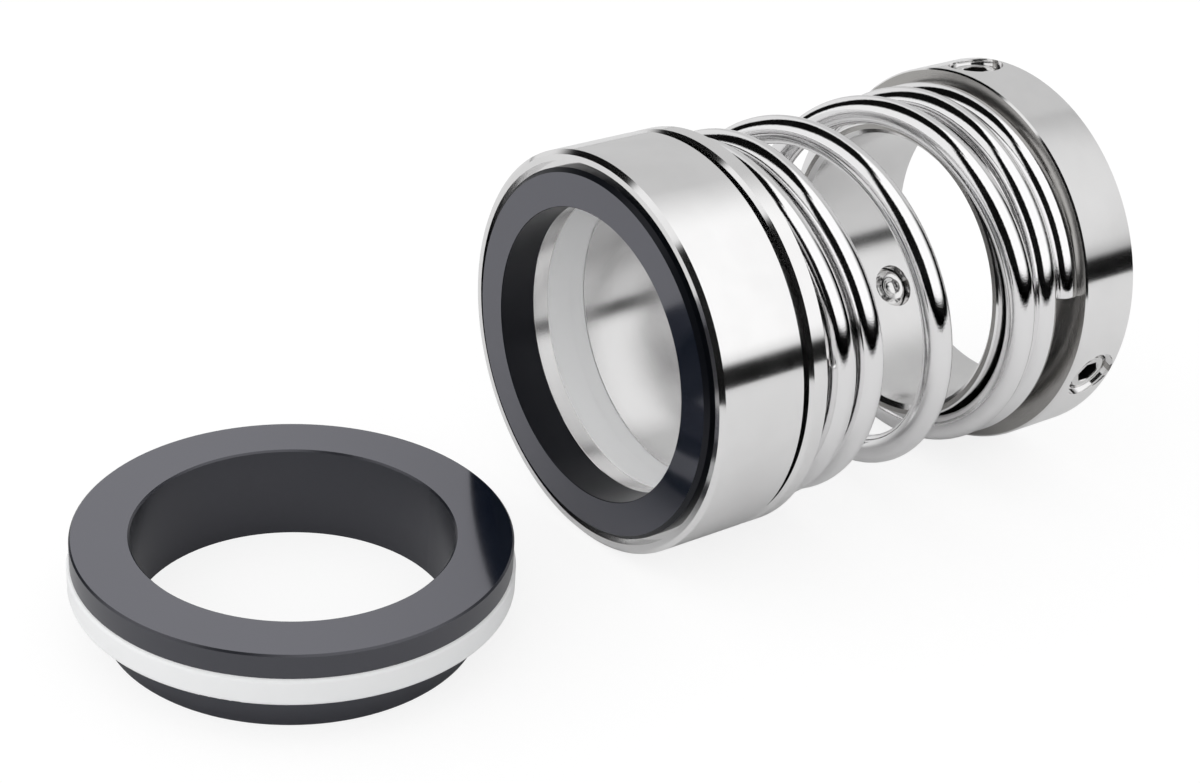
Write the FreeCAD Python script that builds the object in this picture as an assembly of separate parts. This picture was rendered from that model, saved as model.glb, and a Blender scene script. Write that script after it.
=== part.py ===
import FreeCAD
import Part
import math
import os

# A single-spring mechanical shaft seal: the rotary head lies on its side and its stationary seat
# lies flat in front of it, both on the same floor. Lengths in millimetres. The origin is on the
# shaft axis in the plane of the set screws, +X runs from the seal face to the collar, +Z is up.

# Shaft, and how much wider each bore is than its radius
shaft_diameter = 50.0
bore_clearance = 0.05
face_bore_clearance = 0.05
wedge_clearance = 0.03
relief_depth = 0.25

# Radial widths, from the shaft outwards
face_ring_width = 6.45
face_ring_fit = 0.02
housing_wall = 2.83
wedge_width = 4.27
pocket_clearance = 0.1
hub_wall = 2.0
hub_clearance = 0.2
wire_diameter = 5.0

# Lengths along the shaft
collar_width = 11.8
screw_plane_to_rear = 5.3
collar_hub_length = 14.3
spring_length = 59.05
flange_width = 3.6
wedge_gap = 1.35
housing_length = 16.9
face_proud = 0.9

# Face ring in its housing
face_ring_length = 6.6
face_ring_bevel = 0.7
face_ring_edge = 0.1
housing_chamfer = 0.75
housing_lip = 1.0
housing_web = 3.3
web_clearance = 0.15
groove_depth = 1.7

# Wedge ring between the housing and the thrust ring
wedge_length = 7.8
wedge_cylinder = 4.6
wedge_step = 0.12
wedge_taper = 0.25
wedge_edge = 0.35
nose_clearance = 0.05

# Thrust ring
thrust_hub_length = 13.0
land_length = 6.35
thrust_edge = 0.6
bore_edge = 0.8
fine_edge = 0.3

# Spring: wound right-handed, ends closed and ground. In front each turn steps over the tip.
coil_gap = 0.1
front_tip_grind = 1.93
rear_tip_grind = 1.5
front_tip_angle = 82.0
front_closed_turns = 2.277
front_pitch = 3.65
step_over = 2.45
step_before_tip = 0.08
step_turns = 0.2
open_turns = 1.72
rear_closed_turns = 2.0
pitch_ramp = 0.1
arcs_per_turn = 16

# Set screws: hexagon socket, cup point
screw_count = 3
first_screw_angle = -10.0
screw_diameter = 8.0
screw_length = 8.0
screw_hole_clearance = 0.08
screw_inset = 1.0
spot_face_diameter = 9.8
socket_width = 4.0
socket_depth = 4.0
cup_diameter = 5.0
cup_depth = 1.2
point_length = 1.3
screw_edge = 0.6

# Stationary seat and its gasket
seat_clearance = 0.5
seat_wall = 4.5
seat_flange_step = 4.8
seat_height = 16.0
seat_flange_height = 4.05
seat_edge = 0.3
seat_distance = 54.0
seat_offset = 2.55
gasket_fit = 0.02
gasket_width = 5.23
gasket_height = 4.65
gasket_round = 0.7

# Radii that follow
bore_radius = shaft_diameter / 2 + bore_clearance
face_ring_inner = shaft_diameter / 2 + face_bore_clearance
face_ring_outer = face_ring_inner + face_ring_width
housing_recess = face_ring_outer + face_ring_fit
head_radius = housing_recess + housing_wall
wedge_inner = shaft_diameter / 2 + wedge_clearance
wedge_outer = wedge_inner + wedge_width
pocket_radius = wedge_outer + pocket_clearance
hub_radius = bore_radius + hub_wall
wire_radius = wire_diameter / 2
coil_radius = hub_radius + hub_clearance + wire_radius
seat_bore_radius = shaft_diameter / 2 + seat_clearance
seat_base_radius = seat_bore_radius + seat_wall
seat_flange_radius = seat_base_radius + seat_flange_step
screw_radius = screw_diameter / 2
screw_top = head_radius - screw_inset
floor_height = -head_radius

# Stations that follow
collar_rear = screw_plane_to_rear
collar_front = collar_rear - collar_width
collar_hub_front = collar_front - collar_hub_length
spring_front = collar_front - spring_length
flange_front = spring_front - flange_width
housing_rear = flange_front - wedge_gap
housing_front = housing_rear - housing_length
face_plane = housing_front - face_proud
ring_rear = face_plane + face_ring_length
web_rear = ring_rear + housing_web
wedge_rear = web_rear + wedge_length

ORIGIN = FreeCAD.Vector(0, 0, 0)
AXIS_X = FreeCAD.Vector(1, 0, 0)
AXIS_Z = FreeCAD.Vector(0, 0, 1)


def turned(profile):
    """Solid of revolution about the shaft axis, from (station, radius) corners."""
    corners = [FreeCAD.Vector(station, 0, radius) for station, radius in profile]
    outline = Part.makePolygon(corners + corners[:1])
    return Part.Face(outline).revolve(ORIGIN, AXIS_X, 360)


def turned_upright(profile):
    """Solid of revolution about the Z axis, from (radius, height) corners."""
    corners = [FreeCAD.Vector(radius, 0, height) for radius, height in profile]
    outline = Part.makePolygon(corners + corners[:1])
    return Part.Face(outline).revolve(ORIGIN, AXIS_Z, 360)


def face_ring():
    """Seal ring with a lapped front face, held in the housing and standing proud of it."""
    return turned([
        (face_plane + face_ring_edge, face_ring_inner),
        (face_plane, face_ring_inner + face_ring_edge),
        (face_plane, face_ring_outer - face_ring_bevel),
        (face_plane + face_ring_bevel, face_ring_outer),
        (ring_rear, face_ring_outer),
        (ring_rear, face_ring_inner),
    ])


def housing():
    """Shell that grips the face ring in front of its web and holds the wedge ring behind it."""
    web_radius = bore_radius + web_clearance
    lip_radius = head_radius - housing_chamfer - housing_lip
    return turned([
        (ring_rear + fine_edge, web_radius),
        (ring_rear, web_radius + fine_edge),
        (ring_rear, housing_recess),
        (housing_front + groove_depth, housing_recess),
        (housing_front + groove_depth, lip_radius),
        (housing_front, lip_radius),
        (housing_front, lip_radius + housing_lip),
        (housing_front + housing_chamfer, head_radius),
        (housing_rear - fine_edge, head_radius),
        (housing_rear, head_radius - fine_edge),
        (housing_rear, pocket_radius),
        (web_rear, pocket_radius),
        (web_rear, web_radius),
    ])


def wedge_ring():
    """Soft ring that seals on the shaft, with a conical back that the thrust ring presses."""
    lip = wedge_inner + wedge_taper
    cone_height = wedge_outer - lip - wedge_edge
    return turned([
        (web_rear, wedge_inner),
        (web_rear, wedge_outer),
        (wedge_rear - cone_height, wedge_outer),
        (wedge_rear, lip + wedge_edge),
        (wedge_rear, lip),
        (web_rear + wedge_cylinder, wedge_inner + wedge_step),
        (web_rear + wedge_cylinder, wedge_inner),
    ])


def thrust_ring():
    """Flanged ring: its nose presses the wedge ring, its hub centres the front of the spring."""
    nose_inner = wedge_inner + wedge_taper + wedge_edge
    nose_rear = wedge_rear + nose_clearance
    nose_front = nose_rear - (wedge_outer - nose_inner)
    hub_rear = spring_front + thrust_hub_length
    relief_radius = bore_radius + relief_depth
    return turned([
        (nose_rear, bore_radius),
        (nose_rear, nose_inner),
        (nose_front, wedge_outer),
        (flange_front, wedge_outer),
        (flange_front, head_radius - thrust_edge),
        (flange_front + thrust_edge, head_radius),
        (spring_front - fine_edge, head_radius),
        (spring_front, head_radius - fine_edge),
        (spring_front, hub_radius),
        (hub_rear - fine_edge, hub_radius),
        (hub_rear, hub_radius - fine_edge),
        (hub_rear, relief_radius),
        (wedge_rear + land_length, relief_radius),
        (wedge_rear + land_length, bore_radius),
    ])


def ramp_up(turns, centre):
    """Integral of a smooth step of the pitch that is centred on the given turn."""
    share = (turns - centre) / pitch_ramp + 0.5
    if share <= 0:
        return 0.0
    if share >= 1:
        return turns - centre
    return pitch_ramp * (share ** 3 - share ** 4 / 2)


def steps_taken(turns):
    """How many times the wire has stepped over the front tip after so many turns."""
    taken = 0.0
    for passing in (1, 2):
        share = (turns - passing + step_before_tip) / step_turns + 0.5
        share = min(max(share, 0.0), 1.0)
        taken += share ** 2 * (3 - 2 * share)
    return taken


def coil_station(turns):
    """Station of the wire's centre after so many turns from the front tip."""
    rear_pitch = wire_diameter + coil_gap
    rise = spring_length - wire_diameter + front_tip_grind + rear_tip_grind
    closed_rise = front_pitch * front_closed_turns + 2 * step_over + rear_pitch * rear_closed_turns
    open_pitch = (rise - closed_rise) / open_turns
    opened = ramp_up(turns, front_closed_turns)
    closed_again = ramp_up(turns, front_closed_turns + open_turns)
    station = spring_front + wire_radius - front_tip_grind
    station += front_pitch * turns + step_over * steps_taken(turns)
    return station + (open_pitch - front_pitch) * opened - (open_pitch - rear_pitch) * closed_again


def coil_point(turns):
    """Centre of the wire after so many turns."""
    angle = math.radians(front_tip_angle) + 2 * math.pi * turns
    across = -coil_radius * math.sin(angle)
    height = coil_radius * math.cos(angle)
    return FreeCAD.Vector(coil_station(turns), across, height)


def coil_direction(turns):
    """Direction of the wire after so many turns."""
    step = 0.0001
    chord = coil_point(turns + step) - coil_point(turns - step)
    return chord.normalize()


def arc_joint(start, start_way, end, end_way):
    """Point where two arcs meet that leave start and reach end in the given directions."""
    chord = end - start
    ways = start_way + end_way
    square = 2 * (1 - start_way.dot(end_way))
    half = chord.dot(ways)
    reach = (math.sqrt(half ** 2 + square * chord.dot(chord)) - half) / square
    return (start + start_way * reach + end - end_way * reach) * 0.5


def bend(section, start, way, end):
    """Wall that the wire's section sweeps on the arc from start to end, and how it turns."""
    chord = end - start
    axis = way.cross(chord).normalize()
    inward = axis.cross(way)
    radius = chord.dot(chord) / (2 * chord.dot(inward))
    centre = start + inward * radius
    swept = 2 * math.degrees(way.getAngle(chord))
    wall = section.copy().revolve(centre, axis, swept)
    turned_section = section.copy()
    turned_section.rotate(centre, axis, swept)
    turned_way = FreeCAD.Rotation(axis, swept).multVec(way)
    return wall, turned_section, turned_way


def spring():
    """Round wire bent in tangent arcs, cut flat where it seats on the flange and the collar."""
    total_turns = front_closed_turns + open_turns + rear_closed_turns
    steps = round(total_turns * arcs_per_turn)
    place = coil_point(0)
    way = coil_direction(0)
    section = Part.Wire(Part.makeCircle(wire_radius, place, way))
    walls = [Part.Face(section)]
    for step in range(1, steps + 1):
        turns = total_turns * step / steps
        target = coil_point(turns)
        joint = arc_joint(place, way, target, coil_direction(turns))
        for end in (joint, target):
            wall, section, way = bend(section, place, way, end)
            walls.extend(wall.Faces)
            place = end
    walls.append(Part.Face(section))
    skin = Part.makeShell(walls)
    skin.sewShape()
    wire = Part.Solid(skin)
    corner = FreeCAD.Vector(0, -2 * head_radius, -2 * head_radius)
    block = Part.makeBox(wire_diameter, 4 * head_radius, 4 * head_radius, corner)
    front = block.translated(AXIS_X * (spring_front - wire_diameter))
    rear = block.translated(AXIS_X * collar_front)
    return wire.cut(front).cut(rear)


def around_shaft(shape, index):
    """The shape turned from straight up to the place of the screw with this number."""
    placed = shape.copy()
    placed.rotate(ORIGIN, AXIS_X, first_screw_angle + index * 360 / screw_count)
    return placed


def collar():
    """Drive collar with a spring hub in front and holes for the set screws."""
    body = turned([
        (collar_hub_front, bore_radius + bore_edge),
        (collar_hub_front, hub_radius - fine_edge),
        (collar_hub_front + fine_edge, hub_radius),
        (collar_front, hub_radius),
        (collar_front, head_radius - fine_edge),
        (collar_front + fine_edge, head_radius),
        (collar_rear - fine_edge, head_radius),
        (collar_rear, head_radius - fine_edge),
        (collar_rear, bore_radius + fine_edge),
        (collar_rear - fine_edge, bore_radius),
        (collar_hub_front + bore_edge, bore_radius),
    ])
    hole = Part.makeCylinder(screw_radius + screw_hole_clearance, head_radius)
    spot = Part.makeCylinder(spot_face_diameter / 2, head_radius)
    spot.translate(FreeCAD.Vector(0, 0, screw_top))
    for index in range(screw_count):
        body = body.cut(around_shaft(hole, index))
        body = body.cut(around_shaft(spot, index))
    return body


def set_screw(index):
    """Headless screw, its socket outwards and its cup point just short of the bore."""
    tip = screw_top - screw_length
    body = turned_upright([
        (0, tip + cup_depth),
        (cup_diameter / 2, tip),
        (screw_radius, tip + point_length),
        (screw_radius, screw_top - screw_edge),
        (screw_radius - screw_edge, screw_top),
        (0, screw_top),
    ])
    corner_radius = socket_width / math.sqrt(3)
    floor = screw_top - socket_depth
    corners = []
    for corner in range(7):
        angle = math.radians(60 * corner)
        x = corner_radius * math.cos(angle)
        y = corner_radius * math.sin(angle)
        corners.append(FreeCAD.Vector(x, y, floor))
    hexagon = Part.Face(Part.makePolygon(corners))
    socket = hexagon.extrude(FreeCAD.Vector(0, 0, socket_depth))
    return around_shaft(body.cut(socket), index)


def place_seat(shape):
    """The shape stood on the floor where the seat lies."""
    return shape.translated(FreeCAD.Vector(face_plane - seat_distance, seat_offset, floor_height))


def seat_ring():
    """Stationary ring, lapped face up: a flange over a narrower base."""
    return place_seat(turned_upright([
        (seat_bore_radius, 0),
        (seat_base_radius - seat_edge, 0),
        (seat_base_radius, seat_edge),
        (seat_base_radius, seat_height - seat_flange_height),
        (seat_flange_radius, seat_height - seat_flange_height),
        (seat_flange_radius, seat_height - seat_edge),
        (seat_flange_radius - seat_edge, seat_height),
        (seat_bore_radius + seat_edge, seat_height),
        (seat_bore_radius, seat_height - seat_edge),
    ]))


def seat_gasket():
    """Soft ring round the seat's base, up against the underside of the flange."""
    inner = seat_base_radius + gasket_fit
    outer = inner + gasket_width
    top = seat_height - seat_flange_height
    block = turned_upright([
        (inner, top - gasket_height),
        (outer, top - gasket_height),
        (outer, top),
        (inner, top),
    ])
    circles = [edge for edge in block.Edges if isinstance(edge.Curve, Part.Circle)]
    rims = [edge for edge in circles if edge.Curve.Radius > (inner + outer) / 2]
    return place_seat(block.makeFillet(gasket_round, rims))


PIECES = {
    "face_ring": face_ring(),
    "housing": housing(),
    "wedge_ring": wedge_ring(),
    "thrust_ring": thrust_ring(),
    "spring": spring(),
    "collar": collar(),
    "seat_ring": seat_ring(),
    "seat_gasket": seat_gasket(),
}
for number in range(screw_count):
    PIECES["set_screw_" + str(number + 1)] = set_screw(number)

os.makedirs("parts", exist_ok=True)
for name, shape in PIECES.items():
    shape.exportStep("parts/" + name + ".step")
    print(name, shape.isValid(), len(shape.Solids), round(shape.Volume), shape.BoundBox)
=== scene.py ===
import math

import bpy
from mathutils import Matrix, Vector
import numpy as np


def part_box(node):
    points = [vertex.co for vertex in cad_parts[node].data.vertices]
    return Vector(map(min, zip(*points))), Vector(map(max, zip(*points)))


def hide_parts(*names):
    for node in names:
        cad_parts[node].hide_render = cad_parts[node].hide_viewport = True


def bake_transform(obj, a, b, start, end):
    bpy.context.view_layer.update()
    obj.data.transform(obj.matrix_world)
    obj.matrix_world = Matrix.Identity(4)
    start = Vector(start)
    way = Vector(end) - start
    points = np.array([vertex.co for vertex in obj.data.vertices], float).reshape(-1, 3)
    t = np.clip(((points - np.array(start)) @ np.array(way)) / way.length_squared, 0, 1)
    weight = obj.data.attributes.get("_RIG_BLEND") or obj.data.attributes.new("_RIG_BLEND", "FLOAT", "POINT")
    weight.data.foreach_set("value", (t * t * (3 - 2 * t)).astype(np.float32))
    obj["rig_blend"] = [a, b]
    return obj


# The looks of a mechanical shaft seal: the rotary head on its side and its seat in front of it.
# Lengths are in metres. Every CAD piece keeps its shape, apart from the spring, which is wound
# here so that its coils close as the seal face slides back.

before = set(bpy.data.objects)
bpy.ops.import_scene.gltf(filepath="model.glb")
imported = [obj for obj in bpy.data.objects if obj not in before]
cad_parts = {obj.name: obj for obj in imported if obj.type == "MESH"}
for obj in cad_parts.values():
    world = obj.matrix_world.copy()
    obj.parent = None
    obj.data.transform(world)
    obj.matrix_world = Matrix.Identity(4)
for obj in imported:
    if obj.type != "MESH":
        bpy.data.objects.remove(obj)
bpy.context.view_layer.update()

MM = 0.001

# Camera, as the photograph was taken
FRAME_WIDTH = 1200
FOCAL_PIXELS = 2500
SENSOR_WIDTH = 36.0
CAMERA_PLACE = Vector((-0.31348, -0.28953, 0.18939))
CAMERA_RIGHT = Vector((0.80406, -0.59114, 0.06359))
CAMERA_UP = Vector((0.23439, 0.41346, 0.87983))

# Spring wire, wound right-handed, with closed and ground ends. In front each turn steps over the tip.
WIRE_RADIUS = 2.5 * MM
COIL_RADIUS = 29.75 * MM
FRONT_TIP_GRIND = 1.93 * MM
REAR_TIP_GRIND = 1.5 * MM
FRONT_TIP_ANGLE = math.radians(82.0)
FRONT_CLOSED_TURNS = 2.277
FRONT_PITCH = 3.65 * MM
STEP_OVER = 2.45 * MM
STEP_BEFORE_TIP = 0.08
STEP_TURNS = 0.2
OPEN_TURNS = 1.72
REAR_CLOSED_TURNS = 2.0
REAR_PITCH = 5.1 * MM
PITCH_RAMP = 0.1
RINGS_PER_TURN = 120
RING_POINTS = 40
TIP_ROUND = 0.4 * MM
TIP_RINGS = 4
WAY_STEP = 0.0005
SHARP_EDGE = math.radians(30)

# Set screws: where they sit round the collar, the rings turned into their ends, and the reach of the socket,
# where painted shade goes
SCREW_ANGLES = (-10, 110, 230)
RING_WIDTH = 1.5 * MM
RING_DEPTH = 0.05 * MM
SOCKET_RADIUS = 2.4 * MM
SOCKET_FROM = 29.0 * MM

# A face looks some way if the cosine between the two is above this
LOOKS_ALONG = 0.99

# Steels: colour, roughness and how strongly the fine turning marks show
POLISHED = ((0.93, 0.925, 0.925), 0.10, 0.04)
BORED = ((0.8, 0.795, 0.795), 0.18, 0.08)
# The collar's flat front, where the spring sits, gets a darker steel colour: painted shade.
FRONT_SHADE = ((0.48, 0.47, 0.455), 0.26, 0.1)
# Near-black steel in the screw sockets: painted shade in the hollow.
SOCKET_SHADE = ((0.12, 0.115, 0.11), 0.3, 0.1)
SCREW = ((0.8, 0.795, 0.79), 0.14, 0.05)
WIRE_COLOUR = (0.93, 0.925, 0.93, 1)

# Silicon carbide: darkest and lightest colour, roughness, refractive index, strength of its grain
LAPPED = ((0.002, 0.0035, 0.008, 1), (0.006, 0.009, 0.016, 1), 0.09)
RING_FACE = (*LAPPED, 2.3, 0.02)
SEAT_FACE = (*LAPPED, 2.7, 0.02)
RING_SIDE = ((0.001, 0.0015, 0.003, 1), (0.003, 0.004, 0.006, 1), 0.3, 1.35, 0.08)
SEAT_SIDE = ((0.002, 0.003, 0.005, 1), (0.005, 0.007, 0.011, 1), 0.3, 1.9, 0.08)
CERAMIC_TINT = (0.92, 0.91, 1.0, 1)
CERAMIC_GRAIN_TONE = 0.5

# White plastics: darkest and lightest colour, and how much light enters them and how deep
WEDGE_WHITE = ((0.93, 0.935, 0.94, 1), (0.96, 0.965, 0.97, 1))
GASKET_WHITE = ((0.82, 0.825, 0.83, 1), (0.85, 0.855, 0.86, 1))
LIGHT_SHARE = 0.3
LIGHT_DEPTH = 1.0 * MM

# Fine structure of the surfaces: scale, detail and roughness of each noise
TURNING_MARKS = (9000.0, 3.0, 0.6)
STEEL_PATCHES = (120.0, 3.0)
WIRE_GRAIN = (2600.0, 4.0, 0.7)
WIRE_PATCHES = (160.0, 3.0)
CERAMIC_GRAIN = (6000.0, 3.0, 0.6)
CERAMIC_CLOUDS = (90.0, 4.0, 0.6)
PLASTIC_CLOUDS = (140.0, 3.0)

# What the noises change: waver of the turning marks, roughness, tone, and heights that they raise.
# Rows of four give the noise from and to, then the result at both.
MARK_WAVER = 0.01
MARK_ROUGHNESS = 0.08
PATCH_ROUGHNESS = 0.06
CLOUD_ROUGHNESS = 0.06
STEEL_TONE = (0.3, 0.7, 0.96, 1.0)
WIRE_ROUGHNESS = (0.3, 0.75, 0.04, 0.08)
PLASTIC_ROUGHNESS = (0.3, 0.7, 0.32, 0.42)
FINE_HEIGHT = 0.02 * MM
WIRE_GRAIN_HEIGHT = 0.05 * MM
WIRE_GRAIN_DEPTH = 0.2

# White floor: its own colour, and the even glow that the camera sees over it
FLOOR_RADIUS = 0.9
FLOOR_SIDES = 96
FLOOR_COLOUR = (0.76, 0.76, 0.76, 1)
FLOOR_GLOW = 1.13
FLOOR_GLOW_SHARE = 0.72

# What reflections see above the floor: sheets of light with corners (azimuth, elevation) and the
# width of their soft edges
DARK_ROOM = 0.004
CEILING = ((5, -5), (60, -5), (105, -3), (110, 50), (-150, 75), (-10, 38))
CEILING_EDGE = 0.05
SOFTBOX = ((53, 79.5), (30.4, 48.5), (-36, 4.8), (-111, 4.8), (-144.5, 62.7))
SOFTBOX_EDGE = 0.03
STRIP = ((33.7, 70.2), (71.7, 43.5), (115, 0), (124, 0), (149, 59.8), (-174.3, 63.3), (-122.3, 77.3))
STRIP_EDGE = 0.02
LEFT_PANEL = ((122, -4), (149, 58), (-178, 62), (-172, -4))
LEFT_PANEL_EDGE = 0.04
LEFT_PANEL_LIGHT = 1.1

# How light fades along a direction: the cosine from and to, then its strength at both
CEILING_FADE = (0.4, 0.55, 0.95, 0.74)
SOFTBOX_FADE = (0.58, 0.84, 1.32, 0.62)
SOFTBOX_FOOT_FADE = (0.07, 0.22, 0.7, 1.0)
SOFTBOX_FAR_SIDE = (-0.477, -0.594, 0.646)
SOFTBOX_FAR_FADE = (0.0, 0.3, 0.62, 1.0)
SOFT_LIGHT_FADE = (-0.8, 0.0, 1.8, 1.0)

# Low black cards on the floor, which only reflections show
CARD_TOP = 5.0 * MM
CARD_CORNERS = ((-0.3, -0.1), (-0.12, -0.2), (0.2, -0.45), (0.33, -0.45), (0.33, 0.1))

floor_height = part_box("collar")[0].z
spring_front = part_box("spring")[0].x
spring_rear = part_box("spring")[1].x


class Shader:
    """A node tree with short calls for adding nodes and joining them."""

    def __init__(self, tree):
        self.tree = tree
        self.nodes = tree.nodes
        self.nodes.clear()

    def add(self, kind, inputs=(), **settings):
        """Adds a node; inputs are pairs of a socket's name or number and a value or a socket."""
        node = self.nodes.new(kind)
        for key, value in settings.items():
            setattr(node, key, value)
        for socket, value in inputs:
            if isinstance(value, bpy.types.NodeSocket):
                self.tree.links.new(value, node.inputs[socket])
            else:
                node.inputs[socket].default_value = value
        return node

    def math(self, operation, *values):
        return self.add("ShaderNodeMath", enumerate(values), operation=operation).outputs[0]

    def dot(self, vector, direction):
        inputs = ((0, vector), (1, direction))
        return self.add("ShaderNodeVectorMath", inputs, operation="DOT_PRODUCT").outputs["Value"]

    def scale(self, vector, factor):
        return self.add("ShaderNodeVectorMath", ((0, vector), (3, factor)), operation="SCALE").outputs[0]

    def smooth(self, value, low, high, to_low=0.0, to_high=1.0):
        inputs = (("Value", value), ("From Min", low), ("From Max", high),
                  ("To Min", to_low), ("To Max", to_high))
        return self.add("ShaderNodeMapRange", inputs, interpolation_type="SMOOTHSTEP").outputs[0]

    def mix(self, share, first, second):
        return self.add("ShaderNodeMix", ((0, share), (2, first), (3, second))).outputs[0]

    def noise(self, vector, scale, detail=2.0, roughness=0.5):
        inputs = (("Vector", vector), ("Scale", scale), ("Detail", detail), ("Roughness", roughness))
        return self.add("ShaderNodeTexNoise", inputs).outputs["Fac"]

    def bump(self, height, strength, distance, *normal):
        """Normal of a surface that is raised by this height, over another normal if one is given."""
        inputs = [("Strength", strength), ("Distance", distance), ("Height", height)]
        inputs += [("Normal", below) for below in normal]
        return self.add("ShaderNodeBump", inputs).outputs[0]

    def ramp(self, value, dark, light):
        """Colour between two, by a value."""
        node = self.add("ShaderNodeValToRGB", ((0, value),))
        node.color_ramp.elements[0].color = dark
        node.color_ramp.elements[1].color = light
        return node.outputs[0]


def new_material(name):
    material = bpy.data.materials.new(name)
    material.use_nodes = True
    return material, Shader(material.node_tree)


def finish_material(shader, inputs):
    """Adds the principled shader with these inputs and the output."""
    surface = shader.add("ShaderNodeBsdfPrincipled", inputs)
    shader.add("ShaderNodeOutputMaterial", (("Surface", surface.outputs[0]),))


def turned_place(shader, axis):
    """Length along an axis through the origin, distance from it, and the place itself."""
    place = shader.add("ShaderNodeTexCoord").outputs["Object"]
    along = shader.dot(place, axis)
    squares = shader.math("SUBTRACT", shader.dot(place, place), shader.math("MULTIPLY", along, along))
    radius = shader.math("SQRT", shader.math("MAXIMUM", squares, 0.0))
    return along, radius, place


def turned_steel(name, look, axis=(1, 0, 0), ring_depth=0.0):
    """Stainless steel with the fine rings that a lathe and a polishing belt leave round an axis."""
    colour, roughness, mark_depth = look
    material, shader = new_material(name)
    along, radius, place = turned_place(shader, axis)
    ringed = shader.add("ShaderNodeCombineXYZ", ((0, along), (1, radius))).outputs[0]
    inputs = ((0, ringed), (1, shader.scale(place, MARK_WAVER)))
    marks = shader.add("ShaderNodeVectorMath", inputs, operation="ADD").outputs[0]
    rings = shader.noise(marks, *TURNING_MARKS)
    patches = shader.noise(place, *STEEL_PATCHES)
    uneven = shader.math("ADD", shader.math("MULTIPLY", rings, MARK_ROUGHNESS),
                         shader.math("MULTIPLY", patches, PATCH_ROUGHNESS))
    rough = shader.math("ADD", uneven, roughness - (MARK_ROUGHNESS + PATCH_ROUGHNESS) / 2)
    normal = shader.bump(rings, mark_depth, FINE_HEIGHT)
    if ring_depth:
        waves = shader.math("SINE", shader.math("MULTIPLY", radius, 2 * math.pi / RING_WIDTH))
        normal = shader.bump(waves, 1.0, ring_depth, normal)
    tint = shader.scale(colour, shader.smooth(patches, *STEEL_TONE))
    finish_material(shader, (("Base Color", tint), ("Metallic", 1.0), ("Roughness", rough),
                             ("Normal", normal)))
    return material


def wire_steel():
    """Bright drawn wire with fine grain that breaks up the edges of its reflections."""
    material, shader = new_material("spring_wire")
    place = shader.add("ShaderNodeTexCoord").outputs["Object"]
    grain = shader.noise(place, *WIRE_GRAIN)
    patches = shader.noise(place, *WIRE_PATCHES)
    rough = shader.smooth(patches, *WIRE_ROUGHNESS)
    normal = shader.bump(grain, WIRE_GRAIN_DEPTH, WIRE_GRAIN_HEIGHT)
    finish_material(shader, (("Base Color", WIRE_COLOUR), ("Metallic", 1.0), ("Roughness", rough),
                             ("Normal", normal)))
    return material


def hard_face(name, look):
    """Silicon carbide: almost black, its grey comes from what it reflects."""
    dark, light, roughness, index, grain_depth = look
    material, shader = new_material(name)
    place = shader.add("ShaderNodeTexCoord").outputs["Object"]
    grain = shader.noise(place, *CERAMIC_GRAIN)
    clouds = shader.noise(place, *CERAMIC_CLOUDS)
    uneven = shader.math("MULTIPLY", clouds, CLOUD_ROUGHNESS)
    rough = shader.math("ADD", uneven, roughness - CLOUD_ROUGHNESS / 2)
    tone = shader.math("ADD", shader.math("MULTIPLY", grain, CERAMIC_GRAIN_TONE), clouds)
    colour = shader.ramp(tone, dark, light)
    normal = shader.bump(grain, grain_depth, FINE_HEIGHT)
    finish_material(shader, (("Base Color", colour), ("Roughness", rough), ("IOR", index),
                             ("Specular Tint", CERAMIC_TINT), ("Normal", normal)))
    return material


def soft_white(name, look):
    """Satin white fluoropolymer that light enters a little."""
    material, shader = new_material(name)
    place = shader.add("ShaderNodeTexCoord").outputs["Object"]
    clouds = shader.noise(place, *PLASTIC_CLOUDS)
    rough = shader.smooth(clouds, *PLASTIC_ROUGHNESS)
    colour = shader.ramp(clouds, *look)
    finish_material(shader, (("Base Color", colour), ("Roughness", rough),
                             ("Subsurface Weight", LIGHT_SHARE), ("Subsurface Radius", (1.0, 1.0, 1.0)),
                             ("Subsurface Scale", LIGHT_DEPTH)))
    return material


def ramp_up(turns, centre):
    """Integral of a smooth step of the pitch that is centred on the given turn."""
    share = (turns - centre) / PITCH_RAMP + 0.5
    if share <= 0:
        return 0.0
    if share >= 1:
        return turns - centre
    return PITCH_RAMP * (share ** 3 - share ** 4 / 2)


TOTAL_TURNS = FRONT_CLOSED_TURNS + OPEN_TURNS + REAR_CLOSED_TURNS
WIRE_START = spring_front + WIRE_RADIUS - FRONT_TIP_GRIND
WIRE_RISE = spring_rear - spring_front - 2 * WIRE_RADIUS + FRONT_TIP_GRIND + REAR_TIP_GRIND
CLOSED_RISE = FRONT_PITCH * FRONT_CLOSED_TURNS + 2 * STEP_OVER + REAR_PITCH * REAR_CLOSED_TURNS
OPEN_PITCH = (WIRE_RISE - CLOSED_RISE) / OPEN_TURNS


def steps_taken(turns):
    """How many times the wire has stepped over the front tip after so many turns."""
    taken = 0.0
    for passing in (1, 2):
        share = (turns - passing + STEP_BEFORE_TIP) / STEP_TURNS + 0.5
        share = min(max(share, 0.0), 1.0)
        taken += share ** 2 * (3 - 2 * share)
    return taken


def opened_and_closed(turns):
    """Turns since the coils opened and since they closed again, each with a smooth start."""
    return ramp_up(turns, FRONT_CLOSED_TURNS), ramp_up(turns, FRONT_CLOSED_TURNS + OPEN_TURNS)


def opened_share(turns):
    """How much of the open coils lies in front of this turn, from 0 to 1."""
    opened, closed_again = opened_and_closed(turns)
    return (opened - closed_again) / OPEN_TURNS


def coil_point(turns):
    """Centre of the wire after so many turns from the front tip."""
    opened, closed_again = opened_and_closed(turns)
    station = WIRE_START + FRONT_PITCH * turns + STEP_OVER * steps_taken(turns)
    station += (OPEN_PITCH - FRONT_PITCH) * opened - (OPEN_PITCH - REAR_PITCH) * closed_again
    angle = FRONT_TIP_ANGLE + 2 * math.pi * turns
    return Vector((station, -COIL_RADIUS * math.sin(angle), COIL_RADIUS * math.cos(angle)))


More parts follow.
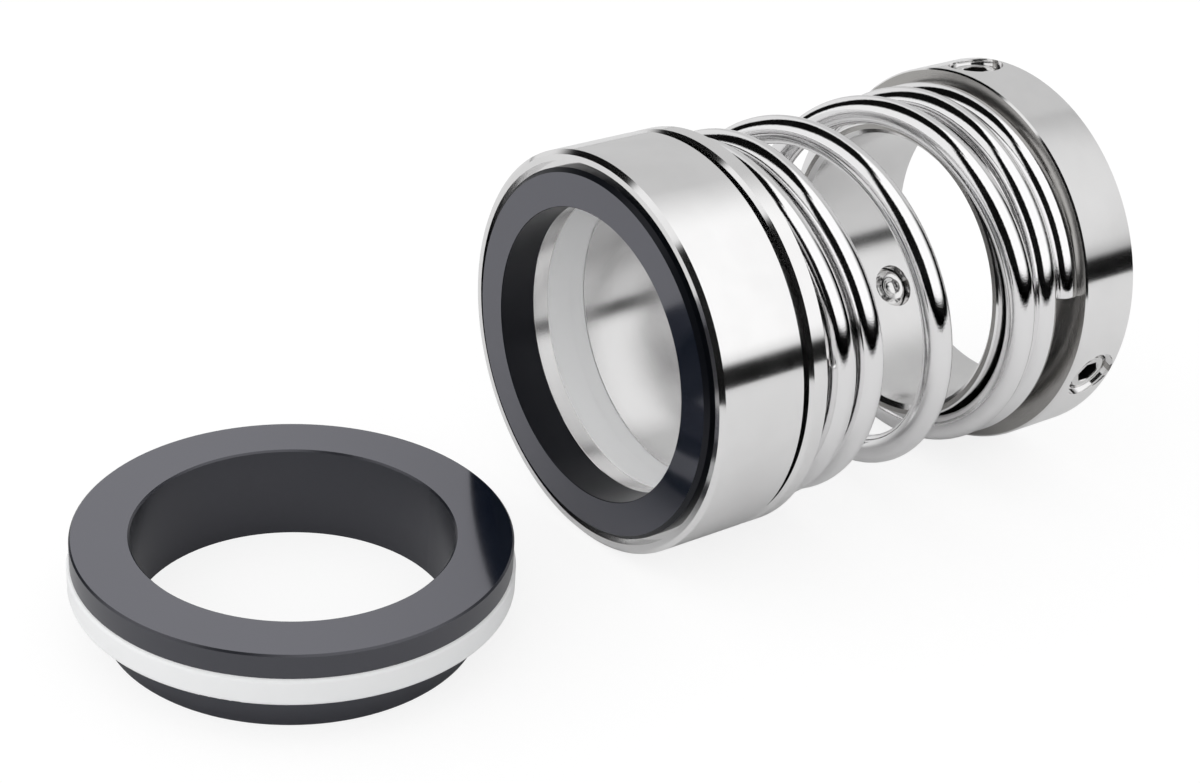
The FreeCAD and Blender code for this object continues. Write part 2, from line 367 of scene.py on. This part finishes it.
def coil_ring(turns, radius):
    """Points round the wire, ground off where they pass the spring's ends."""
    centre = coil_point(turns)
    way = (coil_point(turns + WAY_STEP) - coil_point(turns - WAY_STEP)).normalized()
    outward = Vector((0, centre.y, centre.z)).normalized()
    side = way.cross(outward)
    points = []
    for index in range(RING_POINTS):
        angle = 2 * math.pi * index / RING_POINTS
        point = centre + outward * (radius * math.cos(angle)) + side * (radius * math.sin(angle))
        point.x = min(max(point.x, spring_front), spring_rear)
        points.append(point)
    return points


def coil_stops():
    """Turns and wire radii of all rings: rounded at both tips, even between them."""
    turn_length = 2 * math.pi * COIL_RADIUS
    tip = []
    for index in range(TIP_RINGS + 1):
        angle = math.pi / 2 * (1 - index / TIP_RINGS)
        turns = TIP_ROUND * (1 - math.sin(angle)) / turn_length
        tip.append((turns, WIRE_RADIUS - TIP_ROUND * (1 - math.cos(angle))))
    first = tip[-1][0]
    count = round(TOTAL_TURNS * RINGS_PER_TURN)
    length = TOTAL_TURNS - 2 * first
    middle = [(first + length * index / count, WIRE_RADIUS) for index in range(1, count)]
    tail = [(TOTAL_TURNS - turns, radius) for turns, radius in reversed(tip)]
    return tip + middle + tail


def make_spring():
    """The wire as one skin, each ring of points following the face unit or the collar."""
    points = []
    shares = []
    for turns, radius in coil_stops():
        points += coil_ring(turns, radius)
        shares += [opened_share(turns)] * RING_POINTS
    last = len(points) - RING_POINTS
    faces = [range(RING_POINTS - 1, -1, -1), range(last, last + RING_POINTS)]
    for start in range(0, last, RING_POINTS):
        for index in range(RING_POINTS):
            after = (index + 1) % RING_POINTS
            faces.append((start + index, start + after,
                          start + RING_POINTS + after, start + RING_POINTS + index))
    mesh = bpy.data.meshes.new("spring_wire")
    mesh.from_pydata(points, [], faces)
    mesh.shade_smooth()
    mesh.set_sharp_from_angle(angle=SHARP_EDGE)
    mesh.materials.append(wire_steel())
    spring = bpy.data.objects.new("spring_wire", mesh)
    bpy.context.collection.objects.link(spring)
    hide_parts("spring")
    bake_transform(spring, "face_unit", "collar", start=(spring_front, 0, 0), end=(spring_rear, 0, 0))
    # each ring of points keeps one share, so that the wire stays round when the coils close
    mesh.attributes["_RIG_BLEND"].data.foreach_set("value", shares)


def give(node, *materials):
    """Puts materials on a CAD node, the first on all of it, and returns its mesh."""
    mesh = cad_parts[node].data
    mesh.materials.clear()
    for material in materials:
        mesh.materials.append(material)
    return mesh


def give_faces(node, side, front, rest):
    """Puts one material on the faces of a CAD node that look to this side, another on the rest."""
    for polygon in give(node, rest, front).polygons:
        polygon.material_index = int(polygon.normal.dot(side) > LOOKS_ALONG)


def give_steel(node, outside, bore, flat):
    """Puts steels on a CAD node: on its bore, on its flat front and on all the rest."""
    for polygon in give(node, outside, bore, flat).polygons:
        outward = Vector((0, polygon.center.y, polygon.center.z)).normalized()
        if polygon.normal.dot(outward) < -LOOKS_ALONG:
            polygon.material_index = 1
        elif polygon.normal.x < -LOOKS_ALONG:
            polygon.material_index = 2
        else:
            polygon.material_index = 0


def give_screw(node, axis, socket, rest):
    """Puts a near-black painted shade in the socket of a set screw, another material on the rest of it."""
    for polygon in give(node, rest, socket).polygons:
        along = polygon.center.dot(axis)
        beside = (polygon.center - axis * along).length
        polygon.material_index = int(abs(along) > SOCKET_FROM and beside < SOCKET_RADIUS)


def make_floor():
    """White floor: the camera sees it clean white with a faint shadow."""
    bpy.ops.mesh.primitive_circle_add(vertices=FLOOR_SIDES, radius=FLOOR_RADIUS, fill_type="NGON",
                                      location=(0, 0, floor_height))
    floor = bpy.context.object
    floor.name = "floor"
    material, shader = new_material("floor_white")
    path = shader.add("ShaderNodeLightPath").outputs
    lit = shader.add("ShaderNodeBsdfDiffuse", (("Color", FLOOR_COLOUR),)).outputs[0]
    white = shader.add("ShaderNodeEmission", (("Strength", FLOOR_GLOW),)).outputs[0]
    share = shader.math("MULTIPLY", path["Is Camera Ray"], FLOOR_GLOW_SHARE)
    mixed = shader.add("ShaderNodeMixShader", ((0, share), (1, lit), (2, white))).outputs[0]
    shader.add("ShaderNodeOutputMaterial", (("Surface", mixed),))
    floor.data.materials.append(material)


def make_cards():
    """Low black cards on the floor, whose foot ends the dark line along the metal."""
    heights = (floor_height, CARD_TOP)
    points = [(x, y, height) for height in heights for x, y in CARD_CORNERS]
    mesh = bpy.data.meshes.new("cards")
    count = len(CARD_CORNERS)
    faces = [(side, side + 1, side + 1 + count, side + count) for side in range(count - 1)]
    mesh.from_pydata(points, [], faces)
    material, shader = new_material("card_black")
    finish_material(shader, (("Base Color", (0.0, 0.0, 0.0, 1)), ("Roughness", 1.0),
                             ("Specular IOR Level", 0.0)))
    mesh.materials.append(material)
    cards = bpy.data.objects.new("cards", mesh)
    bpy.context.collection.objects.link(cards)
    cards.visible_camera = False
    cards.visible_diffuse = False
    cards.visible_shadow = False


def direction(azimuth, elevation):
    """Unit vector; the azimuth is counted from +X towards +Y, both in degrees."""
    turn = math.radians(azimuth)
    rise = math.radians(elevation)
    return Vector((math.cos(rise) * math.cos(turn), math.cos(rise) * math.sin(turn), math.sin(rise)))


def panel(shader, look, below, corners, edge, brightness):
    """A soft-edged sheet of light between corners (azimuth, elevation), laid over what is below."""
    ways = [direction(*corner) for corner in corners]
    middle = sum(ways, Vector((0, 0, 0)))
    inside = 1.0
    for here, there in zip(ways, ways[1:] + ways[:1]):
        side = here.cross(there).normalized()
        if side.dot(middle) < 0:
            side.negate()
        inside = shader.math("MULTIPLY", inside, shader.smooth(shader.dot(look, side), -edge, edge))
    return shader.mix(inside, below, brightness)


def make_world():
    """Soft white light, in which reflections see the panels and the dark gaps of a studio."""
    world = bpy.data.worlds.new("studio")
    world.use_nodes = True
    shader = Shader(world.node_tree)
    look = shader.add("ShaderNodeTexCoord").outputs["Generated"]
    along = shader.dot(look, (1.0, 0.0, 0.0))
    height = shader.dot(look, (0.0, 0.0, 1.0))
    from_far_side = shader.dot(look, SOFTBOX_FAR_SIDE)
    ceiling = shader.smooth(along, *CEILING_FADE)
    softbox = shader.smooth(along, *SOFTBOX_FADE)
    softbox = shader.math("MULTIPLY", softbox, shader.smooth(height, *SOFTBOX_FOOT_FADE))
    softbox = shader.math("MULTIPLY", softbox, shader.smooth(from_far_side, *SOFTBOX_FAR_FADE))
    studio = panel(shader, look, DARK_ROOM, CEILING, CEILING_EDGE, ceiling)
    studio = panel(shader, look, studio, SOFTBOX, SOFTBOX_EDGE, softbox)
    studio = panel(shader, look, studio, STRIP, STRIP_EDGE, DARK_ROOM)
    studio = panel(shader, look, studio, LEFT_PANEL, LEFT_PANEL_EDGE, LEFT_PANEL_LIGHT)
    path = shader.add("ShaderNodeLightPath").outputs
    direct = shader.math("LESS_THAN", path["Diffuse Depth"], 0.5)
    soft = shader.smooth(along, *SOFT_LIGHT_FADE)
    strength = shader.mix(shader.math("MULTIPLY", path["Is Glossy Ray"], direct), soft, studio)
    light = shader.add("ShaderNodeBackground", (("Strength", strength),)).outputs[0]
    shader.add("ShaderNodeOutputWorld", (("Surface", light),))
    bpy.context.scene.world = world


def make_camera():
    data = bpy.data.cameras.new("camera")
    data.sensor_width = SENSOR_WIDTH
    data.lens = SENSOR_WIDTH * FOCAL_PIXELS / FRAME_WIDTH
    camera = bpy.data.objects.new("camera", data)
    right = CAMERA_RIGHT.normalized()
    back = right.cross(CAMERA_UP).normalized()
    turn = Matrix((right, back.cross(right), back)).transposed().to_4x4()
    camera.matrix_world = Matrix.Translation(CAMERA_PLACE) @ turn
    bpy.context.collection.objects.link(camera)
    bpy.context.scene.camera = camera


make_spring()
polished = turned_steel("stainless", POLISHED)
bored = turned_steel("stainless_bore", BORED)
# Darker steel for the collar's flat front: painted shade where the spring covers it.
front_shade = turned_steel("stainless_front_painted_shade", FRONT_SHADE)
give_steel("housing", polished, bored, polished)
give_steel("thrust_ring", polished, bored, polished)
give_steel("collar", polished, bored, front_shade)
# The screw sockets get near-black steel: painted shade in the hollow.
socket = turned_steel("socket_painted_shade", SOCKET_SHADE)
for number, angle in enumerate(SCREW_ANGLES, start=1):
    turn = math.radians(angle)
    axis = Vector((0, math.sin(turn), -math.cos(turn)))
    screw = turned_steel(f"screw_steel_{number}", SCREW, axis, RING_DEPTH)
    give_screw(f"set_screw_{number}", axis, socket, screw)
ring_face = hard_face("hard_face_ring", RING_FACE)
ring_side = hard_face("hard_face_ring_side", RING_SIDE)
seat_face = hard_face("hard_face_seat", SEAT_FACE)
seat_side = hard_face("hard_face_seat_side", SEAT_SIDE)
give_faces("face_ring", Vector((-1, 0, 0)), ring_face, ring_side)
give_faces("seat_ring", Vector((0, 0, 1)), seat_face, seat_side)
give("wedge_ring", soft_white("soft_white", WEDGE_WHITE))
give("seat_gasket", soft_white("soft_white_gasket", GASKET_WHITE))
make_floor()
make_cards()
make_world()
make_camera()
bpy.context.scene.view_settings.view_transform = "Standard"
